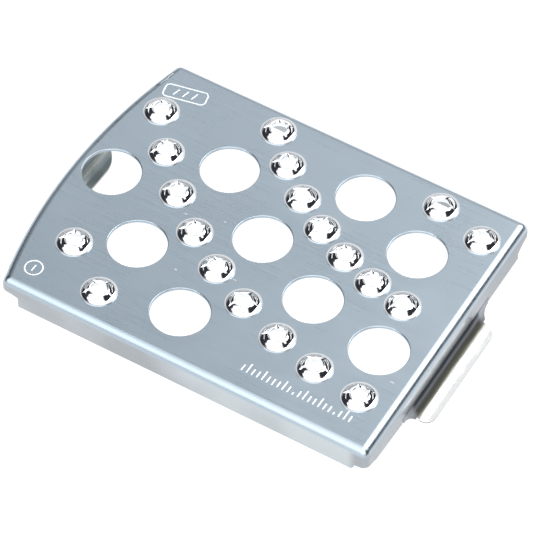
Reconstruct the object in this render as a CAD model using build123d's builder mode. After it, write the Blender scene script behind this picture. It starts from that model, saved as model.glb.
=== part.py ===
from build123d import *
import math
import os

os.makedirs("parts", exist_ok=True)

# Stainless steel pad that covers the tread of a vehicle pedal.
# +X runs along the front edge, +Y to the far edge, +Z up. The plane z = 0 is the
# underside of the two clamp tabs, and x = y = 0 is the middle of the pad.

# Pressed cover
pad_width = 80.0  # left bulge to the middle of the right edge
pad_depth = 61.4
wall_height = 5.6  # rim of the walls to the top face
sheet = 0.5
bend_radius = 1.7  # outside of the bend between the top and the walls
corner_radius = 1.3
bulge_radius = 115.0  # left edge
bulge_middle_y = 2.1
right_lean = 2.1  # degrees, right edge against square

# Relief cut into the rim at each corner
relief_radius = 5.0
relief_depth = 2.8
relief_depth_front_right = 1.5
right_rim_rise = 1.0  # rim climbs from the tab to the front right corner

# Clamp tabs
rim_height = 2.55  # rim above the underside of the tabs
shoulder_radius = 3.4
tab_width = 25.0
tab_middle = -1.4  # along the right wall
tab_reach = 3.7  # free edge beyond the outside of the right wall
tab_corner_radius = 2.2
fold_radius = 3.0
fold_gap = 0.25  # between the wall and the folding tab
hook_width = 24.8
hook_plan_width = 25.25  # where its rounded corners end
hook_reach = 3.0  # free edge inside the outside of the left wall
hook_corner_radius = 6.3
hook_fold_radius = 1.8

# Drain holes and grip studs lie on rings about one point outside the pad
ring_centre = (41.4, 68.9)
first_ring = 47.2
ring_pitch = 10.57
hole_radius = 5.5
hole_edge_radius = 0.15
# ring number and the angles of what stands on it
hole_rows = [
    (5, (-137.4, -127.1, -116.9)),
    (3, (-134.8, -121.9, -109.7, -97.7)),
    (1, (-122.4, -106.2)),
]
stud_rows = [
    (6, (-129.4, -122.9)),
    (4, (-145.7, -139.2, -132.6, -126.3, -120.2, -114.2, -107.8, -101.7, -95.2)),
    (2, (-140.7, -133.5, -126.4, -119.6, -113.1, -106.6, -100.3)),
    (0, (-112.6, -99.6)),
]

# Grip studs: hollow eyelets whose low crown is slit into petals
stud_flange_radius = 3.4
stud_flange_edge = 0.12
stud_bore_radius = 2.1
stud_wall = 0.35
crown_foot_radius = 2.5
crown_foot_height = 0.45
crown_top_radius = 1.78
crown_height = 1.0
lip_radius = 1.45
lip_height = 0.66
petals = 5
slit_floor = 0.15
slit_width = 0.85  # at the lip
slit_reach = 3.0  # radius at which a slit ends
tail_radius = 3.0
# the studs are pressed in at random: direction of one petal of each, degrees
petal_angles = [
    -58, -33, -53, -36, -58, -55, -46, -22, -56, -30,
    -58, -58, -55, -22, -78, -58, -58, -22, -22, -22,
]

# Engraved marks
mark_depth = 0.08
mark_line = 0.28
maker_mark_at = (-31.0, 24.4)
maker_mark_size = (8.6, 3.4)
side_mark_at = (-31.7, -25.4)
side_mark_radius = 1.8
tick_row_start = (12.4, -25.9)
tick_pitch = 1.05
tick_width = 0.3
tick_heights = [
    1.5, 2.2, 1.5, 1.5, 2.2, 1.5, 1.5, 1.5, 2.2, 1.5, 0.6,
    1.5, 2.2, 1.5, 1.5, 2.2, 1.5, 1.5, 0.6, 1.5, 2.2, 1.5,
]

# Heights
rim_z = rim_height
fold_z = sheet + fold_radius
top_z = rim_z + wall_height

# Outline corners before rounding
half_width = pad_width / 2
half_depth = pad_depth / 2
lean = math.tan(math.radians(right_lean))
bulge_centre_x = bulge_radius - half_width


def bulge_x(y):
    return bulge_centre_x - math.sqrt(bulge_radius**2 - (y - bulge_middle_y) ** 2)


front_left = (bulge_x(-half_depth), -half_depth)
front_right = (half_width + lean * half_depth, -half_depth)
far_right = (half_width - lean * half_depth, half_depth)
far_left = (bulge_x(half_depth), half_depth)

# Directions out of the right wall and along it
out = Vector(math.cos(math.radians(right_lean)), math.sin(math.radians(right_lean)), 0)
along = Vector(-out.Y, out.X, 0)
right_middle = Vector(half_width, 0, 0)
tab_origin = right_middle + along * tab_middle
tab_profile_plane = Plane(origin=tab_origin, x_dir=out, z_dir=-along)
tab_face_plane = Plane(origin=tab_origin, x_dir=along, z_dir=out)
tab_plan_plane = Plane(origin=tab_origin, x_dir=out, z_dir=(0, 0, 1))


def ring_points(rows):
    points = []
    for ring, angles in rows:
        radius = first_ring + ring * ring_pitch
        for angle in angles:
            x = ring_centre[0] + radius * math.cos(math.radians(angle))
            y = ring_centre[1] + radius * math.sin(math.radians(angle))
            points.append((x, y))
    return points


def side_outline(plane, width, root_z):
    # side view of a tab: concave shoulders below the rim, and full width up to its root
    full_width = width + 2 * shoulder_radius
    shoulder_z = rim_z - shoulder_radius
    with BuildSketch(plane) as outline:
        with Locations((0, root_z)):
            Rectangle(full_width, root_z + sheet, align=(Align.CENTER, Align.MAX))
        with Locations((-full_width / 2, shoulder_z), (full_width / 2, shoulder_z)):
            Circle(shoulder_radius, mode=Mode.SUBTRACT)
    return outline.sketch


hole_points = ring_points(hole_rows)
stud_points = ring_points(stud_rows)
shank_radius = stud_bore_radius + stud_wall
tail_z = -sheet - stud_wall

# Pressed cover: one sheet with walls all round
with BuildPart() as pad_shell:
    with BuildSketch(Plane.XY.offset(rim_z)) as outline:
        with BuildLine():
            Line(front_left, front_right)
            Line(front_right, far_right)
            Line(far_right, far_left)
            ThreePointArc(far_left, (-half_width, bulge_middle_y), front_left)
        make_face()
        fillet(outline.vertices(), corner_radius)
    extrude(amount=wall_height)
    fillet(pad_shell.faces().sort_by(Axis.Z)[-1].edges(), bend_radius)
    offset(amount=-sheet, openings=pad_shell.faces().sort_by(Axis.Z)[0])

    with BuildSketch(Plane.XY.offset(top_z)):
        with Locations(*hole_points):
            Circle(hole_radius)
    extrude(amount=-2 * sheet, mode=Mode.SUBTRACT)
    top_face = pad_shell.faces().filter_by(Axis.Z).sort_by(Axis.Z)[-1]
    fillet(top_face.edges().filter_by(GeomType.CIRCLE), hole_edge_radius)

    with BuildSketch(Plane.XY.offset(top_z)):
        with Locations(*stud_points):
            Circle(shank_radius)
    extrude(amount=-2 * sheet, mode=Mode.SUBTRACT)

    # reliefs in the rim at the corners
    for corner, depth in (
        (front_left, relief_depth),
        (front_right, relief_depth_front_right),
        (far_right, relief_depth),
        (far_left, relief_depth),
    ):
        diagonal = Vector(corner[0], corner[1], 0).normalized()
        centre = Vector(corner[0], corner[1], rim_z + depth - relief_radius)
        with BuildSketch(Plane(origin=centre, x_dir=diagonal.rotate(Axis.Z, 90), z_dir=diagonal)):
            Circle(relief_radius)
        extrude(amount=2 * corner_radius, both=True, mode=Mode.SUBTRACT)

    # the tab leaves the right wall higher up than the rim
    with BuildSketch(tab_face_plane.offset(-2 * sheet)):
        Rectangle(tab_width + 2 * (shoulder_radius + fold_gap), 2 * (fold_z + fold_gap))
    extrude(amount=4 * sheet, mode=Mode.SUBTRACT)

    # rim of the right wall climbs toward the front corner
    slope_start = -tab_width / 2 - shoulder_radius
    slope_end = -half_depth - corner_radius - tab_middle
    with BuildSketch(tab_face_plane):
        Polygon(
            (slope_start, rim_z),
            (slope_end, rim_z + right_rim_rise),
            (slope_end, rim_z - 1),
            (slope_start, rim_z - 1),
            align=None,
        )
    extrude(amount=2 * sheet, both=True, mode=Mode.SUBTRACT)

    # engraved marks: a framed slash mark, a ring and a row of ticks
    with BuildSketch(Plane.XY.offset(top_z)):
        with Locations(Location(maker_mark_at, 12)):
            RectangleRounded(*maker_mark_size, 1.0)
            RectangleRounded(maker_mark_size[0] - 2 * mark_line, maker_mark_size[1] - 2 * mark_line, 0.7,
                             mode=Mode.SUBTRACT)
            for step in range(3):
                with Locations((1.8 * (step - 1), 0)):
                    Rectangle(mark_line, maker_mark_size[1] - 1.6, rotation=-25)
        with Locations(side_mark_at):
            Circle(side_mark_radius)
            Circle(side_mark_radius - mark_line, mode=Mode.SUBTRACT)
            Rectangle(mark_line, 1.6)
        for i, height in enumerate(tick_heights):
            with Locations((tick_row_start[0] + i * tick_pitch, tick_row_start[1])):
                Rectangle(tick_width, height, align=(Align.CENTER, Align.MIN))
    extrude(amount=-mark_depth, mode=Mode.SUBTRACT)
pad_shell.part.label = "pad_shell"
export_step(pad_shell.part, "parts/pad_shell.step")

# Tab on the right, still folded outward
right_side = side_outline(tab_face_plane, tab_width, fold_z)
with BuildPart() as right_clamp_tab:
    with BuildSketch(tab_profile_plane):
        with BuildLine():
            Line((0, fold_z), (-sheet, fold_z))
            RadiusArc((-sheet, fold_z), (fold_radius, 0), -fold_z)
            Line((fold_radius, 0), (tab_reach, 0))
            Line((tab_reach, 0), (tab_reach, sheet))
            Line((tab_reach, sheet), (fold_radius, sheet))
            RadiusArc((fold_radius, sheet), (0, fold_z), fold_radius)
        make_face()
    extrude(amount=tab_width / 2 + shoulder_radius, both=True)
    extrude(right_side, amount=2 * tab_reach, both=True, mode=Mode.INTERSECT)
    # rounded corners of the free edge
    with BuildSketch(tab_plan_plane):
        with Locations((tab_reach, 0)):
            RectangleRounded(4 * tab_reach, tab_width, tab_corner_radius, align=(Align.MAX, Align.CENTER))
        with Locations((-2 * sheet, 0)):
            Rectangle(4 * sheet, tab_width + 2 * shoulder_radius, align=(Align.MIN, Align.CENTER))
    extrude(amount=top_z, both=True, mode=Mode.INTERSECT)
right_clamp_tab.part.label = "right_clamp_tab"
export_step(right_clamp_tab.part, "parts/right_clamp_tab.step")

# Hook on the left, already folded under; it follows the bulge
hook_sweep = 2 * math.degrees(math.asin((hook_width / 2 + shoulder_radius + bulge_middle_y) / bulge_radius))
sweep_start = math.radians(180 - hook_sweep / 2)
hook_out = Vector(math.cos(sweep_start), math.sin(sweep_start), 0)
bulge_centre = Vector(bulge_centre_x, bulge_middle_y, 0)
fold_start = bulge_radius - hook_fold_radius
hook_edge = bulge_radius - hook_reach
left_side = side_outline(Plane.YZ, hook_width, rim_z)
with BuildPart() as left_clamp_hook:
    with BuildSketch(Plane(origin=bulge_centre, x_dir=hook_out, z_dir=(hook_out.Y, -hook_out.X, 0))):
        with BuildLine():
            Polyline((bulge_radius - sheet, rim_z), (bulge_radius, rim_z), (bulge_radius, hook_fold_radius))
            RadiusArc((bulge_radius, hook_fold_radius), (fold_start, 0), hook_fold_radius)
            Polyline((fold_start, 0), (hook_edge, 0), (hook_edge, sheet), (fold_start, sheet))
            RadiusArc((fold_start, sheet), (bulge_radius - sheet, hook_fold_radius), sheet - hook_fold_radius)
            Line((bulge_radius - sheet, hook_fold_radius), (bulge_radius - sheet, rim_z))
        make_face()
    revolve(axis=Axis(bulge_centre, (0, 0, 1)), revolution_arc=hook_sweep)
    extrude(left_side, amount=2 * half_width, both=True, mode=Mode.INTERSECT)
    # wide rounding of the free edge, below the wall
    with BuildSketch() as free_edge:
        with Locations((-half_width, 0)):
            Rectangle(pad_width, pad_depth)
        with Locations((hook_reach - half_width, 0)):
            RectangleRounded(pad_width, hook_plan_width, hook_corner_radius, align=(Align.MAX, Align.CENTER),
                             mode=Mode.SUBTRACT)
    extrude(amount=hook_fold_radius, mode=Mode.SUBTRACT)
left_clamp_hook.part.label = "left_clamp_hook"
export_step(left_clamp_hook.part, "parts/left_clamp_hook.step")

# One grip stud, with z = 0 at the top face of the pad: tail, shank, flange and crown
with BuildPart() as stud_shape:
    with BuildSketch(Plane.XZ):
        with BuildLine():
            Polyline(
                (stud_bore_radius, 0),
                (stud_bore_radius, tail_z),
                (tail_radius, tail_z),
                (tail_radius, -sheet),
                (shank_radius, -sheet),
                (shank_radius, 0),
                (stud_flange_radius, 0),
                (stud_flange_radius, stud_flange_edge),
            )
            # hollow sweep up from the flange, then over the rounded crown to the lip
            ThreePointArc(
                (stud_flange_radius, stud_flange_edge),
                (0.5 * (stud_flange_radius + crown_foot_radius), 0.32 * (stud_flange_edge + crown_foot_height)),
                (crown_foot_radius, crown_foot_height),
            )
            ThreePointArc(
                (crown_foot_radius, crown_foot_height),
                (0.5 * (crown_foot_radius + crown_top_radius), 0.5 * (crown_foot_height + crown_height) + 0.08),
                (crown_top_radius, crown_height),
            )
            ThreePointArc(
                (crown_top_radius, crown_height),
                (lip_radius + 0.07, crown_height - 0.08),
                (lip_radius, lip_height),
            )
            ThreePointArc(
                (lip_radius, lip_height),
                (0.5 * (lip_radius + stud_bore_radius) + 0.06, 0.5 * lip_height + 0.06),
                (stud_bore_radius, 0),
            )
        make_face()
    revolve(axis=Axis.Z)
    slit_root = slit_width / 2 * slit_reach / (slit_reach - lip_radius)
    for i in range(petals):
        with BuildSketch(Plane.XY.offset(slit_floor).rotated((0, 0, 360 / petals * (i + 0.5)))):
            Polygon((slit_reach, 0), (0, slit_root), (0, -slit_root), align=None)
        extrude(amount=crown_height, mode=Mode.SUBTRACT)

for i, (point, petal_angle) in enumerate(zip(stud_points, petal_angles)):
    name = f"grip_stud_{i + 1:02d}"
    with BuildPart() as grip_stud:
        with Locations(Location((point[0], point[1], top_z), petal_angle)):
            add(stud_shape.part)
    grip_stud.part.label = name
    export_step(grip_stud.part, f"parts/{name}.step")
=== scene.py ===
import math
import bpy
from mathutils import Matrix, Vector


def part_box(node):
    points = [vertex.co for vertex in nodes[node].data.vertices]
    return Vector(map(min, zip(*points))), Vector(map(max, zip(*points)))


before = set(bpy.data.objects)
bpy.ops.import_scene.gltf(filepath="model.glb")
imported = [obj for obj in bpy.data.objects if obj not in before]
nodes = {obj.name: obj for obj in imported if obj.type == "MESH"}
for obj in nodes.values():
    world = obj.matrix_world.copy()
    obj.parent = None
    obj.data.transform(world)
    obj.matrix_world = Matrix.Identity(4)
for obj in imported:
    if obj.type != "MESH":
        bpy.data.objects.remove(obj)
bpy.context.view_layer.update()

scene = bpy.context.scene
scene.view_settings.view_transform = "Standard"

shell_low, shell_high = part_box("pad_shell")
tab_low, tab_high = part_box("right_clamp_tab")
hook_low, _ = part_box("left_clamp_hook")
top_z = shell_high.z
floor_z = min(tab_low.z, hook_low.z)
MM = 0.001

# Sizes of the part that the finishes follow
wall_lean = math.radians(2.1)
fold_radius = 3.0 * MM
sheet = 0.5 * MM

# Etched marks on the pad: left, front, right and far side of the patch round each, in millimetres
mark_patches = [
    (-36.5, 21.0, -26.0, 27.8),
    (-33.9, -27.6, -29.5, -23.2),
    (11.5, -26.3, 35.5, -23.3),
]
# Small nicks in the pad: middle across and along, half length and half width, in millimetres
plate_nicks = [
    (-15.3, -0.3, 0.45, 0.15),
    (-8.2, 1.8, 0.3, 0.15),
    (-9.8, -12.4, 0.35, 0.2),
    (0.5, -8.9, 0.5, 0.12),
    (36.5, -14.3, 0.5, 0.16),
]


# ------------------------------------------------------------ node tree helpers
class Tree:
    """A node tree with short calls for its nodes."""

    def __init__(self, owner):
        owner.use_nodes = True
        self.tree = owner.node_tree
        self.coord = None

    def new(self, kind, **settings):
        node = self.tree.nodes.new(kind)
        for key, value in settings.items():
            setattr(node, key, value)
        return node

    def put(self, socket, value):
        if isinstance(value, bpy.types.NodeSocket):
            self.tree.links.new(value, socket)
        else:
            socket.default_value = value

    def math(self, operation, a, b=0.5, c=0.0):
        node = self.new("ShaderNodeMath", operation=operation)
        for socket, item in zip(node.inputs, (a, b, c)):
            self.put(socket, item)
        return node.outputs[0]

    def total(self, first, *rest, operation="ADD"):
        for item in rest:
            first = self.math(operation, first, item)
        return first

    def span(self, value, low, high, to_low=0.0, to_high=1.0, smooth=True):
        """Carry the range low to high over to another range, held at both ends."""
        node = self.new("ShaderNodeMapRange", clamp=True)
        node.interpolation_type = "SMOOTHSTEP" if smooth else "LINEAR"
        for socket, item in zip(node.inputs, (value, low, high, to_low, to_high)):
            self.put(socket, item)
        return node.outputs[0]

    def sway(self, noise, spread, amount):
        """Turn the swing of a noise about one half into plus or minus an amount."""
        return self.span(noise, 0.5 - spread, 0.5 + spread, -amount, amount, smooth=False)

    def inside(self, x, y, low_x, low_y, high_x, high_y):
        """1 within a rectangle given in millimetres, else 0."""
        sides = [
            self.math("GREATER_THAN", x, low_x * MM),
            self.math("LESS_THAN", x, high_x * MM),
            self.math("GREATER_THAN", y, low_y * MM),
            self.math("LESS_THAN", y, high_y * MM),
        ]
        return self.total(*sides, operation="MULTIPLY")

    def spot(self, x, y, middle_x, middle_y, half_x, half_y):
        """1 within an ellipse given in millimetres, fading to 0 at its rim."""
        squares = []
        for value, middle, half in ((x, middle_x, half_x), (y, middle_y, half_y)):
            offset = self.math("SUBTRACT", value, middle * MM)
            squares.append(self.math("POWER", self.math("DIVIDE", offset, half * MM), 2.0))
        return self.span(self.total(*squares), 0.5, 1.0, 1.0, 0.0)

    def place(self, scale=(1, 1, 1)):
        if self.coord is None:
            self.coord = self.new("ShaderNodeTexCoord").outputs["Object"]
        node = self.new("ShaderNodeMapping")
        self.put(node.inputs["Vector"], self.coord)
        node.inputs["Scale"].default_value = scale
        return node.outputs[0]

    def noise(self, vector, scale, detail, rough):
        node = self.new("ShaderNodeTexNoise")
        self.put(node.inputs["Vector"], vector)
        node.inputs["Scale"].default_value = scale
        node.inputs["Detail"].default_value = detail
        node.inputs["Roughness"].default_value = rough
        return node.outputs["Fac"]

    def strokes(self, scale, detail=4.0, rough=0.6):
        """A noise drawn out along the axes that have a small scale."""
        return self.noise(self.place(scale), 1.0, detail, rough)

    def mix(self, factor, a, b):
        node = self.new("ShaderNodeMix", data_type="RGBA")
        self.put(node.inputs[0], factor)
        self.put(node.inputs[6], a)
        self.put(node.inputs[7], b)
        return node.outputs[2]

    def split(self, vector):
        node = self.new("ShaderNodeSeparateXYZ")
        self.put(node.inputs[0], vector)
        return node.outputs

    def dot(self, vector, direction):
        node = self.new("ShaderNodeVectorMath", operation="DOT_PRODUCT")
        self.put(node.inputs[0], vector)
        node.inputs[1].default_value = direction
        return node.outputs["Value"]

    def bump(self, height, strength, distance, normal=None):
        node = self.new("ShaderNodeBump")
        self.put(node.inputs["Height"], height)
        node.inputs["Strength"].default_value = strength
        node.inputs["Distance"].default_value = distance
        if normal is not None:
            self.put(node.inputs["Normal"], normal)
        return node.outputs[0]

    def coat(self, color, rough, normal):
        """Put a colour, a roughness and a bump on the metal shader."""
        shader = self.tree.nodes["Principled BSDF"]
        shader.inputs["Metallic"].default_value = 1.0
        self.put(shader.inputs["Base Color"], color)
        self.put(shader.inputs["Roughness"], rough)
        self.put(shader.inputs["Normal"], normal)


def material(name):
    mat = bpy.data.materials.new(name)
    return mat, Tree(mat)


def dress(names, mat):
    for name in names:
        slots = nodes[name].material_slots
        if not slots:
            nodes[name].data.materials.append(mat)
        for slot in slots:
            slot.material = mat


# --------------------------------------------------------------------- finishes
grain_bump = 0.02 * MM
cloud_bump = 0.2 * MM
mark_floor = 0.12 * MM  # a little deeper than the etched marks


def etched_marks(t, x, y, z):
    """1 on the sunk floor of the etched marks."""
    below_top = t.span(z, top_z - mark_floor / 2, top_z - mark_floor / 4, 1.0, 0.0)
    above_floor = t.span(z, top_z - mark_floor, top_z - 0.10 * MM)
    sunk = t.math("MULTIPLY", below_top, above_floor)
    patches = [t.inside(x, y, *patch) for patch in mark_patches]
    return t.math("MULTIPLY", sunk, t.total(*patches, operation="MAXIMUM"))


def plate_color_and_sheen(t, here, grain, cloud):
    """Cool grey of the pad's top, with a painted sheen that makes it lighter toward the far side and the
    right.
    """
    x, y, _ = t.split(here)
    middle_tone = 0.21
    mottle = t.noise(here, 900.0, 3.0, 0.6)
    tone = t.total(
        t.sway(cloud, 0.2, 0.03),
        t.sway(grain, 0.25, 0.03),
        t.sway(mottle, 0.2, 0.015),
        # painted sheen: lighter toward the far side and toward the right
        t.span(y, -30 * MM, 30 * MM, -0.14, 0.06, smooth=False),
        t.span(x, 5 * MM, 40 * MM, 0.0, 0.12, smooth=False),
        middle_tone,
    )
    return t.mix(tone, (0.36, 0.43, 0.49, 1), (0.60, 0.68, 0.74, 1))


def wall_color_and_shade(t, here):
    """Neutral grey of the walls, with painted shade that makes the right one darker."""
    x, _, _ = t.split(here)
    broad = t.span(t.noise(here, 40.0, 2.0, 0.5), 0.35, 0.65)
    other_walls = t.mix(broad, (0.34, 0.36, 0.385, 1), (0.50, 0.54, 0.565, 1))
    # painted shade: the right wall gets a darker grey than the others
    shaded_right_wall = t.mix(broad, (0.26, 0.285, 0.315, 1), (0.33, 0.355, 0.385, 1))
    return t.mix(t.span(x, 37 * MM, 39 * MM), other_walls, shaded_right_wall)


def satin_steel():
    mat, t = material("satin_steel_grain")
    here = t.place()
    x, y, z = t.split(here)
    grain = t.strokes((60, 2600, 2600))
    fine = t.strokes((400, 6500, 6500), 2.0, 0.5)
    cloud = t.noise(here, 55.0, 4.0, 0.55)

    on_wall = t.span(z, top_z - 1.6 * MM, top_z - 0.9 * MM, 1.0, 0.0)
    satin = t.mix(on_wall, plate_color_and_sheen(t, here, grain, cloud), wall_color_and_shade(t, here))
    spots = [t.spot(x, y, *nick) for nick in plate_nicks]
    nick_strength = 0.7
    nicks = t.math("MULTIPLY", t.total(*spots, operation="MAXIMUM"), nick_strength)
    satin = t.mix(nicks, satin, (0.90, 0.92, 0.93, 1))
    etched = etched_marks(t, x, y, z)
    color = t.mix(etched, satin, (0.93, 0.95, 0.96, 1))

    middle_rough = 0.30
    etched_rough = 0.35  # added on the marks
    rough = t.total(t.sway(grain, 0.25, 0.05), t.sway(cloud, 0.2, 0.03), middle_rough)
    rough = t.math("MULTIPLY_ADD", etched, etched_rough, rough)
    normal = t.bump(t.total(grain, fine), 0.10, grain_bump)
    t.coat(color, rough, t.bump(cloud, 0.15, cloud_bump, normal))
    return mat


def dull_steel():
    """Greener and rougher than the pad, with dark specks."""
    mat, t = material("satin_steel_dull")
    here = t.place()
    cloud = t.noise(here, 180.0, 4.0, 0.6)
    speck = t.noise(here, 1400.0, 2.0, 0.5)
    grain = t.strokes((2600, 60, 2600))
    color = t.mix(t.span(cloud, 0.3, 0.7), (0.40, 0.42, 0.40, 1), (0.56, 0.59, 0.57, 1))
    color = t.mix(t.span(speck, 0.66, 0.74, 0.0, 0.7), color, (0.07, 0.08, 0.08, 1))
    rough = t.total(t.span(cloud, 0.3, 0.7, 0.40, 0.48), t.span(grain, 0.3, 0.7, 0.0, 0.06))
    t.coat(color, rough, t.bump(t.total(grain, speck), 0.2, grain_bump))
    return mat


def mirror_steel():
    mat, t = material("polished_stud_mirror")
    film = t.noise(t.place(), 700.0, 4.0, 0.6)
    scuff = t.strokes((3000, 9000, 3000), 3.0)
    color = t.mix(t.span(film, 0.35, 0.7), (0.93, 0.94, 0.95, 1), (0.86, 0.88, 0.90, 1))
    rough = t.total(t.span(film, 0.35, 0.75, 0.05, 0.13), t.span(scuff, 0.5, 0.8, 0.0, 0.05))
    t.coat(color, rough, t.bump(t.total(film, scuff), 0.2, grain_bump))
    return mat


def inner_side_of_fold(t, x, y, z):
    """1 where the tab faces the line that it folds about."""
    axis_out = -shell_low.x * math.cos(wall_lean) + fold_radius
    axis_up = tab_high.z
    out = t.total(t.math("MULTIPLY", x, math.cos(wall_lean)), t.math("MULTIPLY", y, math.sin(wall_lean)))
    squares = [
        t.math("POWER", t.math("SUBTRACT", out, axis_out), 2.0),
        t.math("POWER", t.math("SUBTRACT", z, axis_up), 2.0),
    ]
    from_axis = t.math("SQRT", t.total(*squares))
    return t.math("LESS_THAN", from_axis, fold_radius + 0.15 * MM)


def painted_fold_reflection(t, height, clean):
    """Painted dark reflection and shade inside the fold: olive at its lower edge, a painted glint higher
    up, navy at the wall.
    """
    # painted reflection and shade in bands by height up the fold
    edge = t.mix(t.span(height, 0.6 * MM, 1.25 * MM), clean, (0.17, 0.17, 0.13, 1))
    core = t.mix(t.span(height, 1.2 * MM, 1.7 * MM), edge, (0.09, 0.093, 0.087, 1))
    painted_glint = t.mix(t.span(height, 1.9 * MM, 2.3 * MM), core, (0.17, 0.18, 0.195, 1))
    return t.mix(t.span(height, 2.5 * MM, 2.9 * MM), painted_glint, (0.045, 0.052, 0.075, 1))


def tab_shoulders(t, y, z):
    """1 on the two shoulders, which look like the wall beside them."""
    end_margin = 2.9 * MM  # from the end of the tab to where its shoulder is plain wall
    fade = 1.5 * MM
    near = tab_low.y + end_margin
    far = tab_high.y - end_margin
    ends = t.math("MAXIMUM", t.span(y, near, near + fade, 1.0, 0.0), t.span(y, far - fade, far))
    return t.math("MULTIPLY", ends, t.span(z, 0.6 * MM, 1.0 * MM))


def tab_steel():
    mat, t = material("polished_tab_brushed")
    here = t.place()
    x, y, z = t.split(here)
    film = t.noise(here, 300.0, 4.0, 0.6)
    brushed = t.strokes((7000, 90, 7000))
    inner = inner_side_of_fold(t, x, y, z)
    height = t.total(z, t.sway(brushed, 0.2, 0.12 * MM))

    clean = t.mix(t.span(brushed, 0.3, 0.7), (0.99, 0.99, 0.98, 1), (0.92, 0.92, 0.90, 1))
    # painted dark reflection and shade in the fold; the shoulders take the wall grey
    painted_fold = t.mix(tab_shoulders(t, y, z), painted_fold_reflection(t, height, clean), (0.34, 0.365, 0.395, 1))
    normal_z = t.split(t.new("ShaderNodeNewGeometry").outputs["Normal"])[2]
    upright = t.math("LESS_THAN", t.math("ABSOLUTE", normal_z), 0.3)
    cut_edge = t.math("MULTIPLY", upright, t.math("LESS_THAN", z, 1.1 * sheet))
    outer = t.mix(cut_edge, clean, (0.38, 0.38, 0.40, 1))

    fold_rough = t.math("MULTIPLY", inner, t.span(height, 0.5 * MM, 0.9 * MM, 0.0, 0.3))
    metal_rough = t.total(t.span(film, 0.35, 0.75, 0.10, 0.2), t.span(brushed, 0.3, 0.7, 0.0, 0.08))
    normal = t.bump(brushed, 0.2, grain_bump)
    t.coat(t.mix(inner, outer, painted_fold), t.total(metal_rough, fold_rough), normal)
    return mat


dress(["pad_shell"], satin_steel())
dress(["left_clamp_hook"], dull_steel())
dress([n for n in nodes if n.startswith("grip_stud")], mirror_steel())
dress(["right_clamp_tab"], tab_steel())


# --------------------------------------------------------------- floor and light
def floor_material():
    mat, t = material("studio_floor_pale")
    shader = t.tree.nodes["Principled BSDF"]
    speck = t.noise(t.place(), 30.0, 3.0, 0.5)
    t.put(shader.inputs["Base Color"], t.mix(speck, (0.23, 0.23, 0.23, 1), (0.26, 0.26, 0.26, 1)))
    shader.inputs["Roughness"].default_value = 0.7
    shader.inputs["Specular IOR Level"].default_value = 0.1
    shader.inputs["Emission Color"].default_value = (1, 1, 1, 1)
    shader.inputs["Emission Strength"].default_value = 0.94
    return mat


def floor_mesh():
    """A disc of rings that is flat under the part and curls up gently far out."""
    rings, spokes = 40, 96
    radius, flat_radius, curl = 4.0, 1.6, 0.06
    verts = [(0.0, 0.0, floor_z)]
    for ring in range(1, rings + 1):
        r = radius * (ring / rings) ** 1.5
        lift = max(0.0, r - flat_radius) ** 2 * curl
        for spoke in range(spokes):
            angle = 2 * math.pi * spoke / spokes
            verts.append((r * math.cos(angle), r * math.sin(angle), floor_z + lift))
    faces = [(0, 1 + spoke, 1 + (spoke + 1) % spokes) for spoke in range(spokes)]
    for ring in range(rings - 1):
        for spoke in range(spokes):
            a = 1 + ring * spokes + spoke
            b = 1 + ring * spokes + (spoke + 1) % spokes
            faces.append((a, a + spokes, b + spokes, b))
    mesh = bpy.data.meshes.new("studio_floor")
    mesh.from_pydata(verts, [], faces)
    for polygon in mesh.polygons:
        polygon.use_smooth = True
    return mesh


def light_room():
    """A dark room lit by soft panels in front, overhead and at the far right."""
    panel = (2.4, 2.4, 2.4, 1)
    dark_room = (0.03, 0.032, 0.04, 1)
    low_wall = (0.42, 0.43, 0.45, 1)
    pale_wall = (0.83, 0.85, 0.87, 1)
    side_gain = 2.2
    low_front = 0.42  # share of the front panel's light near the floor

    world = bpy.data.worlds.new("studio")
    scene.world = world
    t = Tree(world)
    direction = t.new("ShaderNodeTexCoord").outputs["Generated"]
    up = t.split(direction)[2]
    front = t.span(t.dot(direction, (0.05, -0.82, 0.57)), 0.56, 0.72)
    front = t.math("MULTIPLY", front, t.span(up, 0.30, 0.42, low_front, 1.0))
    overhead = t.span(up, 0.88, 0.95)
    side = t.span(t.dot(direction, (0.27, 0.53, 0.80)), 0.925, 0.955, 0.0, side_gain)
    bright = t.total(front, overhead, side, operation="MAXIMUM")
    low_glow = t.span(t.dot(direction, (-0.54, 0.73, 0.42)), 0.86, 0.95)
    high_glow = t.span(t.dot(direction, (-0.22, 0.69, 0.69)), 0.88, 0.975)
    room = t.mix(high_glow, t.mix(low_glow, dark_room, low_wall), pale_wall)
    background = t.tree.nodes["Background"]
    t.put(background.inputs["Color"], t.mix(t.math("MINIMUM", bright, 1.0), room, panel))
    t.put(background.inputs["Strength"], t.math("MAXIMUM", bright, 1.0))


floor = bpy.data.objects.new("studio_floor", floor_mesh())
scene.collection.objects.link(floor)
floor.data.materials.append(floor_material())
light_room()

# ----------------------------------------------------------------------- camera
camera = bpy.data.objects.new("camera", bpy.data.cameras.new("camera"))
scene.collection.objects.link(camera)
scene.camera = camera
camera.data.sensor_width = 36.0
camera.data.lens = 310.7
camera.data.clip_start = 0.01
camera.data.clip_end = 50.0
aim = Vector((0.003688, -0.003246, top_z))
camera_distance = 0.82575
azimuth = math.radians(31.7)  # from the front toward the right
elevation = math.radians(49.85)
back = Vector((
    math.sin(azimuth) * math.cos(elevation),
    -math.cos(azimuth) * math.cos(elevation),
    math.sin(elevation),
))
camera.location = aim + back * camera_distance
camera.rotation_mode = "QUATERNION"
camera.rotation_quaternion = back.to_track_quat("Z", "Y")
